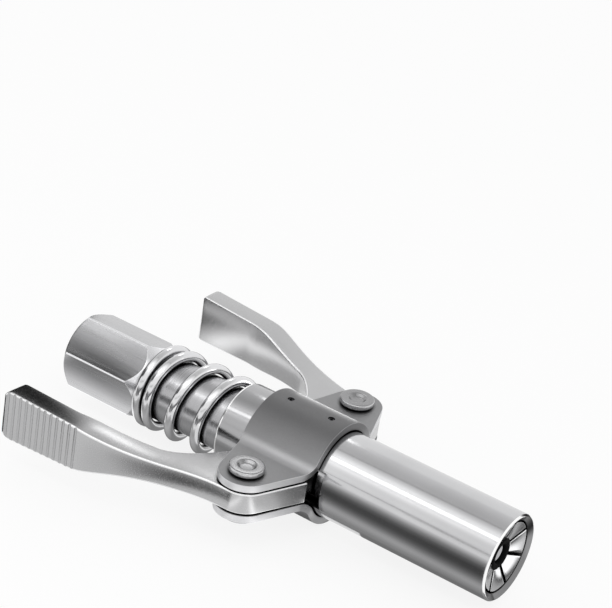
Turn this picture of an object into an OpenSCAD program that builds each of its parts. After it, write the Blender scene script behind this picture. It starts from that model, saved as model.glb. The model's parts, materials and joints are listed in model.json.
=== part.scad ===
// Locking grease coupler with two squeeze levers.
// It lies along +X, from the hose inlet at the origin to the jaws that grip a grease nipple.
// The levers swing in the XY plane. Squeezing them drives the core forward inside the sleeve.

/* [Overall] */
// Length of the hexagon at the hose end
hex_len = 21; // [18:0.5:28]
// Hexagon size across its flats
hex_af = 17; // [17:0.5:19]
// Space between hexagon and sleeve, filled by the return spring
spring_len = 23.5; // [21:0.5:28]
// Length of the outer sleeve
sleeve_len = 70.5; // [68:0.5:78]
// Outer diameter of the outer sleeve
sleeve_d = 20; // [19:0.5:22]

/* [Inlet and check valve] */
// Tapped bore for the hose end
inlet_d = 8.7; // [8:0.1:9.5]
// Depth of the tapped bore
inlet_depth = 10; // [8:0.5:12]
// Grease passage
passage_d = 3.2; // [2.6:0.1:3.6]
// Threaded spigot that joins hexagon and core
spigot_d = 9; // [8.6:0.1:9.6]
// Length of the threaded spigot
spigot_len = 9; // [8:0.5:12]
// Check ball
ball_d = 4.6; // [4.4:0.1:5]
// Bore of the check valve chamber
valve_bore_d = 6; // [5.6:0.1:6.6]
// Length of the check valve chamber
valve_len = 15.5; // [13:0.5:18]

/* [Core] */
// Diameter of the core tube
core_d = 15.2; // [14.6:0.1:15.6]
// Half width of the web left between the two lever pockets
web_half = 3.6; // [3.2:0.1:3.9]

/* [Return spring] */
// Wire of the return spring
wire_d = 2.3; // [1.8:0.1:2.3]
// Part of a turn that lies flat on the hexagon
seat_turns = 0.12; // [0.08:0.01:0.16]
// Closed turns at the hexagon end
closed_turns = 1.3; // [1.2:0.05:1.5]
// Open turns in the middle
open_turns = 2.48; // [2:0.01:3]
// Part of a turn that lies flat on the sleeve
flat_turns = 0.28; // [0.2:0.02:0.4]

/* [Saddle] */
// Thickness of the saddle sheet
sheet_t = 1.7; // [1.2:0.1:2]
// Length of the saddle along the sleeve
saddle_len = 19.3; // [18:0.1:21]
// Distance from the mouth back to the front edge of the saddle
saddle_setback = 43.4; // [42:0.1:46]
// Distance from the sleeve axis out to each lever pivot
pivot_reach = 21.1; // [20.5:0.1:22]
// Distance from the front edge of the saddle back to the pivots
pivot_setback = 10.5; // [10:0.1:11]
// Radius of the ear round each pivot
ear_r = 6; // [5:0.1:6.5]
// Bend radius where the crown turns into the ears
bend_r = 3.5; // [2.5:0.1:4]
// Roll pins that hold the saddle on the sleeve
pin_d = 1.6; // [1.4:0.1:2]
// Spacing of the roll pins along the sleeve
pin_spacing = 10.8; // [9:0.1:12]

/* [Rivets] */
// Shank of each pivot rivet
rivet_d = 5; // [4:0.1:5.4]
// Diameter of each rivet head
rivet_head_d = 7.9; // [7:0.1:9]
// Height of each rivet head
rivet_head_h = 1.7; // [1.2:0.1:2]

/* [Levers] */
// Height of the lever between the ears
lever_h = 5.3; // [4.8:0.1:5.5]
// Thickness of the lever arm seen from above
lever_t = 5.5; // [4.8:0.1:5.8]
// Height of the thumb pad at its end
pad_h = 11.8; // [10:0.1:13]
// Height of the thumb pad where the arm starts
pad_front_h = 10.8; // [9:0.1:12]
// Length of the thumb pad
pad_len = 20.3; // [19:0.1:24]
// Distance from the pivot back to the thumb pad
arm_len = 34; // [32:0.5:36]
// Distance that the thumb pad stands outside the pivot
arm_rise = 15.5; // [14.5:0.1:16]
// Tilt of the thumb pad against the sleeve axis
pad_tilt = 2.4; // [1:0.1:5]
// Radius of the lever round its pivot
hub_r = 5.9; // [5:0.1:6.2]
// Distance between the grip grooves of the pad
groove_pitch = 1.7; // [1.4:0.05:1.9]
// Number of grip grooves
groove_count = 12; // [6:1:12]
// Radius of each grip groove
groove_r = 0.5; // [0.3:0.05:0.6]
// Play of the levers: one stands in by this angle and the other out
lever_play = 1.2; // [0:0.1:2.5]
// Turn of each lever when squeezed home
lever_swing = 11; // [8:0.5:12]
// Distance from the sleeve axis to the finger tips
finger_tip = 4.4; // [4.3:0.1:4.8]
// Distance of the finger's front ahead of the pivot
finger_front = 8.75; // [8.4:0.05:9]
// Width of the finger
finger_w = 4.55; // [4:0.05:4.8]

/* [Jaws] */
// Clear throat between the closed jaws
throat_d = 6.9; // [6.6:0.1:7.2]
// Depth of the funnel that leads to the throat
funnel_depth = 2.1; // [1.8:0.1:2.6]
// Width of the slits between the jaws
slit_w = 0.6; // [0.4:0.05:0.8]
// Distance from the mouth back to the core's front face
jaw_room = 25; // [24:0.5:28]
// Wall of the jaw shank
jaw_wall = 2.45; // [2.2:0.05:2.6]
// Angle of the first slit, from +Y towards +Z
slit_turn = 30.2; // [0:0.1:51]

/* [Nipple seal] */
// Outer diameter of the rubber seal
seal_d = 6.7; // [6.4:0.1:6.7]
// Metal tip inside the rubber seal
tip_d = 4; // [3.8:0.1:4.6]
// Length of the rubber seal
seal_len = 4.05; // [3.6:0.05:4.6]
// Travel of the seal when a nipple pushes it back
seal_travel = 3; // [2:0.1:3.2]
// Grease bore of the seal carrier
carrier_bore_d = 2.6; // [2:0.1:2.8]

/* [Fits] */
// Radial clearance of sliding fits
run_fit = 0.08; // [0.05:0.01:0.1]
// Radial clearance of threads, pins and rivets
seat_fit = 0.02; // [0.01:0.01:0.05]
// Gap between the lever and the ears, each side
ear_gap = 0.25; // [0.2:0.05:0.4]
// Gap between saddle crown and sleeve
crown_gap = 0.3; // [0.1:0.05:0.4]
// Loose gap round the jaws and the levers
loose = 0.3; // [0.25:0.01:0.35]

/* [Hidden] */
$fn = 96;
JAWS = 7;

steel = [0.72, 0.73, 0.74];
dark_steel = [0.5, 0.51, 0.52];
rubber = [0.05, 0.05, 0.05];
over = 1;

// Stations along X
sleeve_x = hex_len + spring_len;
mouth_x = sleeve_x + sleeve_len;
core_front_x = mouth_x - jaw_room;
saddle_x = mouth_x - saddle_setback - saddle_len;
pivot_x = mouth_x - saddle_setback - pivot_setback;

// Radii about the axis
core_r = core_d / 2;
bore_r = core_r + run_fit;
sleeve_r = sleeve_d / 2;
hex_r = hex_af / 2 / cos(30);
spring_r = core_r + loose + wire_d / 2;

// Hexagon
hex_turn = 43.6;
face_step = 0.2;
hex_face_r = hex_af / 2 - face_step;
hex_rear_chamfer = 1.3;
hex_front_chamfer = 2.7;

// Return spring: gap between its closed turns, and the angle at which the wire starts
coil_gap = 0.07;
wire_start = 250;

// Check valve
seat_depth = 1.2;
spigot_x = hex_len + spigot_len;
seat_x = spigot_x - seat_depth;
ball_x = seat_x - passage_d / 2 + (ball_d / 2 + seat_fit) * sqrt(2);
valve_end_x = spigot_x + valve_len;
valve_wire_d = 0.6;
valve_gap = 0.4;
valve_coil_r = valve_bore_d / 2 - valve_gap - valve_wire_d / 2;
oring_d = 1.55;
oring_room = oring_d + 2 * seat_fit;

// Mouth of the sleeve: a countersink, then the cone that closes the jaws
rim_w = 0.5;
sink_depth = 0.75;
cone_depth = 1.9;
cone_flare = 0.72;
cone_x = mouth_x - sink_depth;
cone_r = bore_r + cone_flare;
rear_chamfer = 0.8;
front_chamfer = 0.4;

// Position along X of a lever point (x ahead, y inside the pivot) once turned by an angle
function turned_x(x, y, angle) = x * cos(angle) + y * sin(angle);

// Fingers of the levers, and what they reach through and push
finger_rear = finger_front - finger_w;
finger_reach = pivot_reach - finger_tip;
full_turn = lever_swing + lever_play;
rest_push = turned_x(finger_front, finger_reach, lever_play);
core_travel = turned_x(finger_front, finger_reach, full_turn) - rest_push;
thrust_x = pivot_x + rest_push + loose;
pocket_root = turned_x(finger_rear, pivot_reach - core_r, lever_swing - lever_play);
pocket_room = 1;
pocket_x = pivot_x + pocket_root - core_travel - pocket_room;
pocket_h = lever_h + 2 * loose;
window_gap = 0.85;
window_x = pivot_x + turned_x(finger_rear, pivot_reach - bore_r, -lever_play) - window_gap;
window_front_x = pivot_x + turned_x(finger_front, pivot_reach - bore_r, full_turn) + window_gap;
window_room = 2;
window_h = lever_h + 2 * window_room;

// Saddle section
ear_z = lever_h / 2 + ear_gap;
ear_top_z = ear_z + sheet_t;
crown_in_r = sleeve_r + crown_gap;
crown_r = crown_in_r + sheet_t;
bend_z = ear_top_z + bend_r;
bend_y = sqrt(pow(crown_r + bend_r, 2) - pow(bend_z, 2));
bend_angle = atan2(bend_z, bend_y);
ear_tip_y = pivot_reach + ear_r;
pin_mid_x = saddle_x + saddle_len / 2;

// Jaw holder: a collar, a neck and a flange that the jaw heels hook behind
holder_shank_d = 10.4;
holder_shank = 7.5;
holder_x = core_front_x - holder_shank;
collar_len = 1;
neck_len = 3.1;
flange_len = 1.7;
neck_r = 5;
flange_r = 6;
neck_x = core_front_x + collar_len;
flange_x = neck_x + neck_len;
flange_end_x = flange_x + flange_len;
heel_gap = 0.48;
heel_r = bore_r - heel_gap;

// Jaws, closed
jaw_gap = 0.15;
throat_r = throat_d / 2;
throat_x = mouth_x - funnel_depth;
throat_land = 0.8;
throat_lip = 0.2;
jaw_in_r = throat_r + throat_lip;
shank_r = jaw_in_r + jaw_wall;
jaw_nose_r = cone_r - jaw_gap;
cone_slope = cone_flare / cone_depth;
shank_end_x = cone_x - (jaw_nose_r - shank_r) / cone_slope;
ring_wire_d = 1;
ring_gap = 0.05;
ring_setback = 2.7;
ring_r = jaw_in_r + ring_gap + ring_wire_d / 2;
ring_x = flange_end_x + ring_setback;
ring_room = ring_wire_d / 2 + loose;

// Seal and its carrier
seal_lead = 0.3;
seal_front_x = throat_x + seal_lead - 2 * loose;
seal_x = seal_front_x - seal_len;
carrier_r = seal_d / 2;
carrier_bore_r = carrier_bore_d / 2;
guide_r = carrier_r + run_fit;
tip_r = tip_d / 2;
tip_setback = 0.5;
tip_end_x = seal_front_x - tip_setback;
tip_chamfer = 0.6;
collar_r = 4.2;
collar_w = 1.6;
collar_x = holder_x - seat_fit - collar_w;
chamber_gap = 0.2;
chamber_wall = 2.7;
chamber_r = collar_r + chamber_gap;
chamber_x = thrust_x + chamber_wall;
seal_wire_d = 0.8;
coil_spare = 0.7;
groove_setback = 3.5;
groove_x = holder_x + groove_setback;
small_oring_d = 1.1;
small_oring_gap = 0.03;
groove_bottom_r = guide_r - small_oring_gap - small_oring_d;

// Levers
lever_hole_d = rivet_d + 2 * run_fit;
nose_reach = 3.95;
nose_gap = 1.6;
heel_step = 0.2;
nose = [hub_r + nose_reach, -(pivot_reach - sleeve_r - nose_gap)];
heel_in = nose[1] + heel_step;

// Turns local +Z to +X, with local +X along +Y and local +Y along +Z
module along_x(x = 0) {
    translate([x, 0, 0]) rotate([90, 0, 90]) children();
}

// Solid of revolution about the X axis from [radius, x] points
module turned(points) {
    along_x() rotate_extrude() polygon(points);
}

module bore(x, length, d) {
    along_x(x) cylinder(d = d, h = length);
}

module ring(x, r, d) {
    along_x(x) rotate_extrude() translate([r, 0]) circle(d = d, $fn = 32);
}

// Cubic curve between a and d with the control points b and c
function curve(a, b, c, d, steps = 12) = [
    for (i = [0 : steps])
        let (t = i / steps, s = 1 - t)
        s * s * s * a + 3 * s * s * t * b + 3 * s * t * t * c + t * t * t * d
];

function arc(centre, r, from, to, steps = 12) = [
    for (i = [0 : steps])
        let (angle = from + (to - from) * i / steps)
        centre + r * [cos(angle), sin(angle)]
];

// Coil spring about the X axis: knots give the wire's place along X after each number of turns
module coil(knots, turns, r, d, start, steps, sides, hand = -1) {
    count = ceil(turns * steps);
    rings = [
        for (i = [0 : count])
            let (turn = turns * i / count, angle = start + hand * 360 * turn, x = lookup(turn, knots))
            [for (j = [0 : sides - 1])
                let (side = 360 * j / sides, out = r + d / 2 * cos(side))
                [x + d / 2 * sin(side), out * cos(angle), out * sin(angle)]]
    ];
    points = [for (loop = rings) each loop];
    walls = [
        for (i = [0 : count - 1], j = [0 : sides - 1])
            let (a = i * sides + j, b = i * sides + (j + 1) % sides)
            hand < 0 ? [a, b, b + sides, a + sides] : [a, a + sides, b + sides, b]
    ];
    first = [for (j = [0 : sides - 1]) hand < 0 ? sides - 1 - j : j];
    last = [for (j = [0 : sides - 1]) count * sides + (hand < 0 ? j : sides - 1 - j)];
    polyhedron(points, concat(walls, [first, last]));
}

// Compression spring with closed ends, from x to x + length
module closed_spring(x, length, r, d, turns) {
    knots = [
        [0, x + d / 2],
        [1, x + d * 1.55],
        [turns - 1, x + length - d * 1.55],
        [turns, x + length - d / 2]
    ];
    coil(knots, turns, r, d, 0, 16, 6);
}

// Hexagon with turned chamfers, whose cones run on past the corners
module hex_body() {
    cone_share = (hex_r + over - hex_face_r) / (hex_r - hex_face_r);
    color(steel) difference() {
        union() {
            intersection() {
                along_x() rotate([0, 0, hex_turn]) cylinder(r = hex_r, h = hex_len, $fn = 6);
                turned([
                    [0, 0],
                    [hex_face_r, 0],
                    [hex_r + over, hex_rear_chamfer * cone_share],
                    [hex_r + over, hex_len - hex_front_chamfer * cone_share],
                    [hex_face_r, hex_len],
                    [0, hex_len]
                ]);
            }
            bore(hex_len - over, spigot_len + over, spigot_d);
        }
        bore(-over, inlet_depth + over, inlet_d);
        bore(0, spigot_x, passage_d);
        turned([
            [0, seat_x],
            [passage_d / 2, seat_x],
            [passage_d / 2 + spigot_x + over - seat_x, spigot_x + over],
            [0, spigot_x + over]
        ]);
    }
}

module core_tube() {
    color(steel) difference() {
        bore(hex_len, core_front_x - hex_len, core_d);
        bore(hex_len - over, spigot_len + over, spigot_d + 2 * seat_fit);
        bore(hex_len - over, oring_room + over, spigot_d + 2 * oring_room);
        bore(spigot_x - over, valve_len + over, valve_bore_d);
        bore(valve_end_x - over, chamber_x - valve_end_x + 2 * over, passage_d);
        bore(chamber_x, holder_x - chamber_x + over, 2 * chamber_r);
        bore(holder_x, holder_shank + over, holder_shank_d + 2 * seat_fit);
        for (side = [-1, 1]) {
            translate([pocket_x, side > 0 ? web_half : -web_half - core_r, -pocket_h / 2])
                cube([thrust_x - pocket_x, core_r, pocket_h]);
        }
    }
}

module jaw_holder() {
    color(steel) difference() {
        turned([
            [0, holder_x],
            [holder_shank_d / 2, holder_x],
            [holder_shank_d / 2, core_front_x],
            [heel_r, core_front_x],
            [heel_r, neck_x],
            [neck_r, neck_x],
            [neck_r, flange_x],
            [flange_r, flange_x],
            [flange_r, flange_end_x],
            [0, flange_end_x]
        ]);
        bore(holder_x - over, flange_end_x - holder_x + 2 * over, 2 * guide_r);
    }
}

module body_oring() {
    color(rubber) ring(hex_len + oring_room / 2, spigot_d / 2 + oring_room / 2, oring_d);
}

module check_ball() {
    color(dark_steel) translate([ball_x, 0, 0]) sphere(d = ball_d);
}

module check_spring() {
    spring_x = ball_x + sqrt(pow(ball_d / 2, 2) - pow(valve_coil_r - valve_wire_d / 2, 2));
    color(dark_steel) closed_spring(spring_x, valve_end_x - spring_x, valve_coil_r, valve_wire_d, 8);
}

module seal_carrier() {
    color(steel) difference() {
        turned([
            [0, collar_x],
            [collar_r, collar_x],
            [collar_r, holder_x - seat_fit],
            [carrier_r, holder_x - seat_fit],
            [carrier_r, groove_x],
            [groove_bottom_r, groove_x],
            [groove_bottom_r, groove_x + small_oring_d + 4 * seat_fit],
            [carrier_r, groove_x + small_oring_d + 4 * seat_fit],
            [carrier_r, seal_x],
            [tip_r, seal_x],
            [tip_r, tip_end_x],
            [0, tip_end_x]
        ]);
        bore(collar_x - over, tip_end_x - collar_x + 2 * over, carrier_bore_d);
        turned([
            [0, tip_end_x - tip_chamfer],
            [carrier_bore_r, tip_end_x - tip_chamfer],
            [carrier_bore_r + 2 * tip_chamfer, tip_end_x + tip_chamfer],
            [0, tip_end_x + tip_chamfer]
        ]);
    }
}

module carrier_oring() {
    middle = small_oring_d / 2;
    color(rubber) ring(groove_x + middle + 2 * seat_fit, groove_bottom_r + middle, small_oring_d);
}

module seal_spring() {
    room = collar_x - chamber_x;
    turns = (room - seal_travel - coil_spare) / seal_wire_d;
    coil_r = chamber_r - loose - seal_wire_d / 2;
    color(dark_steel) closed_spring(chamber_x, room, coil_r, seal_wire_d, turns);
}

module nozzle_seal() {
    lip = 0.35;
    color(rubber) turned([
        [tip_r + seat_fit, seal_x],
        [carrier_r, seal_x],
        [carrier_r, seal_front_x - lip],
        [carrier_r - lip, seal_front_x],
        [tip_r + lip, seal_front_x],
        [tip_r + seat_fit, seal_front_x - lip]
    ]);
}

module jaw_ring() {
    color(dark_steel) along_x(ring_x) rotate_extrude(angle = 330)
        translate([ring_r, 0]) circle(d = ring_wire_d, $fn = 32);
}

// One jaw: a sector of the closed ring of jaws, with half a slit cut off each side
module jaw(index) {
    pitch = 360 / JAWS;
    color(steel) along_x() rotate([0, 0, slit_turn + (index - 1) * pitch]) difference() {
        rotate_extrude(angle = pitch) polygon([
            [heel_r, neck_x + loose],
            [heel_r, flange_end_x - loose],
            [shank_r, flange_end_x + 4 * loose],
            [shank_r, shank_end_x],
            [jaw_nose_r, cone_x],
            [throat_r, throat_x],
            [throat_r, throat_x - throat_land],
            [jaw_in_r, throat_x - 1.5 * throat_land],
            [jaw_in_r, ring_x + ring_room],
            [ring_r + ring_room, ring_x + ring_room],
            [ring_r + ring_room, ring_x - ring_room],
            [jaw_in_r, ring_x - ring_room],
            [jaw_in_r, flange_end_x + loose],
            [flange_r + loose, flange_end_x + loose],
            [flange_r + loose, flange_x - loose],
            [neck_r + loose, flange_x - loose],
            [neck_r + loose, neck_x + loose]
        ]);
        for (angle = [0, pitch]) {
            rotate([0, 0, angle]) translate([0, -slit_w / 2, neck_x])
                cube([sleeve_r, slit_w, mouth_x - neck_x]);
        }
    }
}

module return_spring() {
    closed_pitch = (wire_d + coil_gap) / (1 - seat_turns);
    first_x = hex_len + wire_d / 2;
    last_x = sleeve_x - wire_d / 2;
    lift_turns = closed_turns + open_turns;
    knots = [
        [0, first_x],
        [seat_turns, first_x],
        [closed_turns, first_x + (closed_turns - seat_turns) * closed_pitch],
        [lift_turns, last_x],
        [lift_turns + flat_turns, last_x]
    ];
    color(steel) coil(knots, lift_turns + flat_turns, spring_r, wire_d, wire_start, 28, 12);
}

module pin_holes(d) {
    for (side = [-1, 1], shift = [-0.5, 0.5]) {
        translate([pin_mid_x + shift * pin_spacing, 0, 0]) mirror([0, 0, side < 0 ? 1 : 0])
            cylinder(d = d, h = crown_r + over, $fn = 32);
    }
}

module outer_sleeve() {
    color(steel) difference() {
        turned([
            [bore_r, sleeve_x],
            [sleeve_r - rear_chamfer, sleeve_x],
            [sleeve_r, sleeve_x + rear_chamfer],
            [sleeve_r, mouth_x - front_chamfer],
            [sleeve_r - front_chamfer, mouth_x],
            [sleeve_r - rim_w, mouth_x],
            [cone_r, cone_x],
            [bore_r, cone_x - cone_depth]
        ]);
        translate([window_x, -sleeve_d, -window_h / 2])
            cube([window_front_x - window_x, 2 * sleeve_d, window_h]);
        pin_holes(pin_d);
    }
}

// Point where a line from q touches the circle (c, r): side 1 or -1 picks the tangent
function touch(q, c, r, side) =
    let (gap = q - c, angle = atan2(gap[1], gap[0]) + side * acos(r / norm(gap)))
    c + r * [cos(angle), sin(angle)];

// Plan of the saddle: crown between two ears that are round at the pivots
module saddle_plan() {
    crown_y = crown_r - sheet_t;
    rear = saddle_x;
    front = saddle_x + saddle_len;
    for (side = [-1, 1]) {
        mirror([0, side < 0 ? 1 : 0]) {
            pivot = [pivot_x, pivot_reach];
            translate(pivot) circle(r = ear_r);
            polygon([
                [rear, 0],
                [front, 0],
                [front, crown_y],
                touch([front, crown_y], pivot, ear_r, 1),
                pivot,
                touch([rear, crown_y], pivot, ear_r, -1),
                [rear, crown_y]
            ]);
        }
    }
}

// Half of the sheet's section on the +Y side, from the ear tip up to the top of the crown
module saddle_section() {
    bend = [bend_y, bend_z];
    reach = ear_tip_y + over;
    polygon(concat(
        [[reach, ear_z], [reach, ear_top_z]],
        arc(bend, bend_r, 270, 180 + bend_angle),
        arc([0, 0], crown_r, bend_angle, 180 - bend_angle, 32),
        [for (p = arc(bend, bend_r, 180 + bend_angle, 270)) [-p[0], p[1]]],
        [[-reach, ear_top_z], [-reach, ear_z]],
        [for (p = arc(bend, bend_r + sheet_t, 270, 180 + bend_angle)) [-p[0], p[1]]],
        arc([0, 0], crown_in_r, 180 - bend_angle, bend_angle, 32),
        arc(bend, bend_r + sheet_t, 180 + bend_angle, 270)
    ));
}

module saddle_shell() {
    difference() {
        intersection() {
            along_x(saddle_x) linear_extrude(saddle_len) saddle_section();
            linear_extrude(crown_r + over) saddle_plan();
        }
        pin_holes(pin_d);
        for (side = [-1, 1]) {
            translate([pivot_x, side * pivot_reach, 0])
                cylinder(d = rivet_d + 2 * seat_fit, h = crown_r);
        }
    }
}

module saddle_upper() {
    color(steel) saddle_shell();
}

module saddle_lower() {
    color(steel) mirror([0, 0, 1]) saddle_shell();
}

// Hollow roll pins, a little below the crown
module saddle_pins() {
    sunk = 0.25;
    color(dark_steel)
        for (side = [-1, 1], shift = [-0.5, 0.5]) {
            translate([pin_mid_x + shift * pin_spacing, 0, 0]) mirror([0, 0, side < 0 ? 1 : 0])
                translate([0, 0, bore_r + loose]) difference() {
                    cylinder(d = pin_d - 2 * seat_fit, h = crown_r - bore_r - loose - sunk, $fn = 32);
                    translate([0, 0, -over]) cylinder(d = pin_d / 2, h = crown_r, $fn = 32);
                }
        }
}

// Plan of a lever about its pivot at the origin, outside of the coupler towards +Y
module lever_plan() {
    along = [cos(pad_tilt), -sin(pad_tilt)];
    across = [sin(pad_tilt), cos(pad_tilt)];
    round_r = 0.5;
    tip_round = 1.4;
    end_slant = 1.2;
    bend_len = 3.5;
    bend_lag = 4.5;
    nose_step = 0.9;
    front_out = [-arm_len, arm_rise];
    rear_out = front_out - pad_len * along;
    rear_in = rear_out - lever_t * across + end_slant * along;
    bend_in = front_out - lever_t * across - bend_lag * along;
    shoulder_out = [-16, 9.5];
    shoulder_out_lead = [-9, 3.2];
    shoulder_in = [-20.5, 4.9];
    shoulder_in_lead = [-7.5, 2.75];
    shoulder_in_tail = [4, -1];
    knee = [-9.75, -6.3];
    knee_lead = [-2.85, 5.1];
    knee_tail = [0.95, -1.7];
    foot = [-6.3, heel_in];
    foot_lead = [-1.7, 0];
    hub_lead = [-hub_r * 0.75, hub_r];
    hub_end = atan2(nose[1], nose[0]) + acos(hub_r / norm(nose));
    polygon(concat(
        [rear_in],
        arc(rear_out + round_r * (along - across), round_r, 180 - pad_tilt, 90 - pad_tilt, 6),
        curve(front_out, front_out + bend_len * along, shoulder_out + shoulder_out_lead, shoulder_out),
        [hub_lead],
        arc([0, 0], hub_r, 90, hub_end),
        [nose, [finger_front, nose[1] - nose_step]],
        arc([finger_front - tip_round, tip_round - finger_reach], tip_round, 0, -90, 6),
        arc([finger_rear + tip_round, tip_round - finger_reach], tip_round, -90, -180, 6),
        [[finger_rear, heel_in]],
        curve(foot, foot + foot_lead, knee + knee_tail, knee, 6),
        curve(knee, knee + knee_lead, shoulder_in + shoulder_in_tail, shoulder_in),
        curve(shoulder_in, shoulder_in + shoulder_in_lead, bend_in + bend_len * along, bend_in)
    ));
}

// Side of a lever: tall pad, low arm
module lever_side() {
    corner = 2.3;
    slack = 0.15;
    pad_z = pad_h / 2;
    arm_z = lever_h / 2;
    end = -(arm_len + pad_len * cos(pad_tilt)) - slack;
    neck_lag = 2;
    neck = [-arm_len - neck_lag, pad_front_h / 2];
    neck_lead = [6, -0.35];
    arm = [-14, arm_z];
    arm_lead = [-12, 0.15];
    top = concat(
        arc([end + corner, pad_z - corner], corner, 180, 90, 6),
        curve(neck, neck + neck_lead, arm + arm_lead, arm),
        [[finger_front + ear_r, arm_z]]
    );
    polygon(concat(top, [for (i = [len(top) - 1 : -1 : 0]) [top[i][0], -top[i][1]]]));
}

// Lever on the +Y side, turned about its pivot by an angle that counts inward
module lever(angle) {
    along = [cos(pad_tilt), -sin(pad_tilt)];
    across = [sin(pad_tilt), cos(pad_tilt)];
    groove_start = 0.3;
    groove_rise = 0.2;
    translate([pivot_x, pivot_reach, 0]) rotate([0, 0, angle]) difference() {
        intersection() {
            translate([0, 0, -pad_h]) linear_extrude(2 * pad_h) lever_plan();
            translate([0, 2 * pivot_reach, 0]) rotate([90, 0, 0])
                linear_extrude(4 * pivot_reach) lever_side();
        }
        translate([0, 0, -pad_h]) cylinder(d = lever_hole_d, h = 2 * pad_h);
        for (i = [0 : groove_count - 1]) {
            spot = [-arm_len, arm_rise] - (groove_start + i * groove_pitch) * along + groove_rise * across;
            translate([spot[0], spot[1], -pad_h]) cylinder(r = groove_r, h = 2 * pad_h, $fn = 24);
        }
    }
}

module lever_left() {
    color(steel) lever(-lever_play);
}

module lever_right() {
    color(steel) mirror([0, 1, 0]) lever(lever_play);
}

// Pivot rivet with a head above and below, undercut at the ear, rounded and dished
module rivet() {
    head_r = rivet_head_d / 2;
    top = ear_top_z + rivet_head_h;
    undercut = 0.65;
    lip_h = 0.55;
    edge_r = 0.7;
    dish_r = 2.15;
    dish_depth = 0.7;
    half = concat(
        [[0, 0], [rivet_d / 2, 0], [rivet_d / 2, ear_top_z]],
        [[head_r - undercut, ear_top_z], [head_r, ear_top_z + lip_h]],
        arc([head_r - edge_r, top - edge_r], edge_r, 0, 90, 6),
        [[dish_r, top], [dish_r - dish_depth, top - dish_depth], [0, top - dish_depth]]
    );
    for (side = [0, 1]) {
        mirror([0, 0, side]) rotate_extrude() polygon(half);
    }
}

module rivet_left() {
    color(steel) translate([pivot_x, pivot_reach, 0]) rivet();
}

module rivet_right() {
    color(steel) translate([pivot_x, -pivot_reach, 0]) rivet();
}

hex_body();
core_tube();
jaw_holder();
body_oring();
check_ball();
check_spring();
seal_carrier();
carrier_oring();
seal_spring();
nozzle_seal();
jaw_ring();
jaw(1);  // jaw_1
jaw(2);  // jaw_2
jaw(3);  // jaw_3
jaw(4);  // jaw_4
jaw(5);  // jaw_5
jaw(6);  // jaw_6
jaw(7);  // jaw_7
return_spring();
outer_sleeve();
saddle_upper();
saddle_lower();
saddle_pins();
lever_left();
lever_right();
rivet_left();
rivet_right();
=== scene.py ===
"""Looks of a locking grease coupler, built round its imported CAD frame."""
import json
import math

import bmesh
import bpy
from mathutils import Matrix, Vector


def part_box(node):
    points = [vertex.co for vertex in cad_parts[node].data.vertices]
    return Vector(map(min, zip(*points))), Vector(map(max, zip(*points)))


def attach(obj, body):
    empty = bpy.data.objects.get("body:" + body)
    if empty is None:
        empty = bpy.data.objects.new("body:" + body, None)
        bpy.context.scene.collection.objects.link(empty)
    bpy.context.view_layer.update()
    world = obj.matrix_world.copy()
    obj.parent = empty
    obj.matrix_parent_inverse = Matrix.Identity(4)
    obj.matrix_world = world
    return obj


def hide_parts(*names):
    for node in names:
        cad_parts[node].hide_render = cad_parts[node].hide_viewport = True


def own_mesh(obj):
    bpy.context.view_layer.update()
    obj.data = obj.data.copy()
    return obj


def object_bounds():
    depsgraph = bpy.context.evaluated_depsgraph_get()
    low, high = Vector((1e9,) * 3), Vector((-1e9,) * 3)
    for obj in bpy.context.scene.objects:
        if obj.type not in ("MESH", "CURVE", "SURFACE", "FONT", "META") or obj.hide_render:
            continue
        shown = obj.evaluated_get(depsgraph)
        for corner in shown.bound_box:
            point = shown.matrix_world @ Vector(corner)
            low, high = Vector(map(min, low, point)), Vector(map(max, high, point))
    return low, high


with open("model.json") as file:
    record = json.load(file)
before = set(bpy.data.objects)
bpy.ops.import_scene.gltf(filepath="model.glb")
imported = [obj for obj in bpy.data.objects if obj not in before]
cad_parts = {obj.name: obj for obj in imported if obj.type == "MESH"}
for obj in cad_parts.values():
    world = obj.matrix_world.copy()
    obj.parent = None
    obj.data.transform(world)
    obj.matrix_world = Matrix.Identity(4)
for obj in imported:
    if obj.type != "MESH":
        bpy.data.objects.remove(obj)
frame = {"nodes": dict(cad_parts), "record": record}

bl_info = {
    "name": "Grease Coupler Looks",
    "version": (1, 0, 0),
    "blender": (4, 5, 0),
    "location": "View3D > Sidebar > Coupler",
    "description": "Models and finishes the visible pieces of a locking grease coupler",
    "category": "Object",
}

CAD_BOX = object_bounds()
MM = 0.001
JAWS = [f"jaw_{i}" for i in range(1, 8)]
TONE = "tone"

HEX_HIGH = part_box("hex_body")[1]
SPRING_LOW, SPRING_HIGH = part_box("return_spring")
SLEEVE_LOW, SLEEVE_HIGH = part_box("outer_sleeve")
SADDLE_LOW, SADDLE_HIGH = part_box("saddle_upper")
RIVET_LOW, RIVET_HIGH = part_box("rivet_left")
SEAL_LOW, SEAL_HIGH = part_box("nozzle_seal")
HOLDER_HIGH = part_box("jaw_holder")[1]
PIVOT = (RIVET_LOW + RIVET_HIGH) / 2

# The sleeve's mouth: a countersink, then a cone that closes the jaws
SINK, CONE_LEN, CONE_RISE = 0.75 * MM, 1.9 * MM, 0.72 * MM
# Where the thumb pads begin, counted from the pivots, and how far they lean in degrees
PAD_X, PAD_LEAN = -34 * MM, 2.4
# Directions along the coupler, across it and up
ALONG, ACROSS, UP = (1, 0, 0), (0, 1, 0), (0, 0, 1)


def length(name, text, default):
    """A size in metres that a user may change."""
    return bpy.props.FloatProperty(name=name, description=text, default=default, min=0.0,
                                   unit="LENGTH", precision=5)


def tint(name, text, default):
    """A linear colour that a user may change."""
    return bpy.props.FloatVectorProperty(name=name, description=text, default=default, min=0.0, max=1.0,
                                         size=3, subtype="COLOR")


def share(name, text, default):
    """A roughness or another share between 0 and 1."""
    return bpy.props.FloatProperty(name=name, description=text, default=default, min=0.0, max=1.0,
                                   subtype="FACTOR")


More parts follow.
